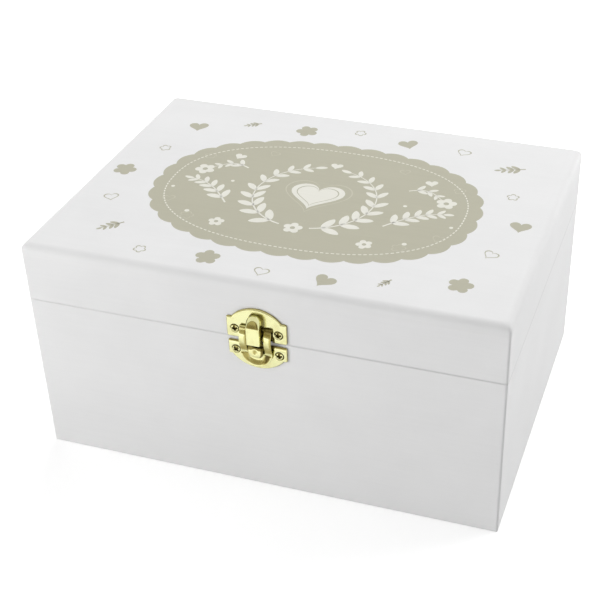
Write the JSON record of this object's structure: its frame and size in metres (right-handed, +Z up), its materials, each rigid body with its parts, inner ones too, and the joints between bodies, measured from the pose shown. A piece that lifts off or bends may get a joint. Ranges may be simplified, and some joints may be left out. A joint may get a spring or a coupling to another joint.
{
  "type": "keepsake box",
  "caption": "White painted wooden keepsake box with a hinged lid, butt hinges at the back and a brass toggle catch at the front.",
  "frame": {"origin": "centre of the flat underside", "axes": "+X to the right along the width, +Z up, the catch on the -Y side"},
  "size_m": [0.29, 0.2262, 0.146],
  "materials": {
    "painted_wood": "smooth satin white paint over wood",
    "painted_panel": "matt white paint over a thin panel",
    "hinge_brass": "plated, bright",
    "screw_brass": "plated, bright",
    "plate_brass": "plated pale lemon gold, polished",
    "toggle_brass": "plated pale lemon gold, polished"
  },
  "bodies": {
    "base": {"front_wall": "painted_wood", "back_wall": "painted_wood", "left_wall": "painted_wood", "right_wall": "painted_wood", "bottom_panel": "painted_panel", "left_hinge_base_leaf": "hinge_brass", "right_hinge_base_leaf": "hinge_brass", "left_hinge_pin": "hinge_brass", "right_hinge_pin": "hinge_brass", "hinge_screws_base": "screw_brass", "strike_plate": "plate_brass", "strike_screws": "screw_brass"},
    "lid": {"lid_front_rail": "painted_wood", "lid_back_rail": "painted_wood", "lid_left_rail": "painted_wood", "lid_right_rail": "painted_wood", "lid_top_panel": "painted_wood", "left_hinge_lid_leaf": "hinge_brass", "right_hinge_lid_leaf": "hinge_brass", "hinge_screws_lid": "screw_brass", "catch_plate": "plate_brass", "catch_screws": "screw_brass", "lever_pin": "toggle_brass"},
    "lever": {"catch_lever": "toggle_brass", "loop_pin": "toggle_brass"},
    "loop": {"catch_loop": "toggle_brass"}
  },
  "joints": [
    {"name": "lid_hinge", "type": "hinge", "parent": "base", "child": "lid", "pos_m": [0, 0.1093, 0.108], "axis": [-1, 0, 0], "range_deg": [0, 100]},
    {"name": "lever_pivot", "type": "hinge", "parent": "lid", "child": "lever", "pos_m": [0.0009, -0.1104, 0.112], "axis": [1, 0, 0], "range_deg": [0, 90]},
    {"name": "loop_swing", "type": "hinge", "parent": "lever", "child": "loop", "pos_m": [0.0009, -0.1092, 0.117], "axis": [1, 0, 0], "range_deg": [-74, 0]}
  ],
  "couplings": [
    {"joint": "loop_swing", "follows": "lever_pivot", "ratio": -0.82}
  ]
}
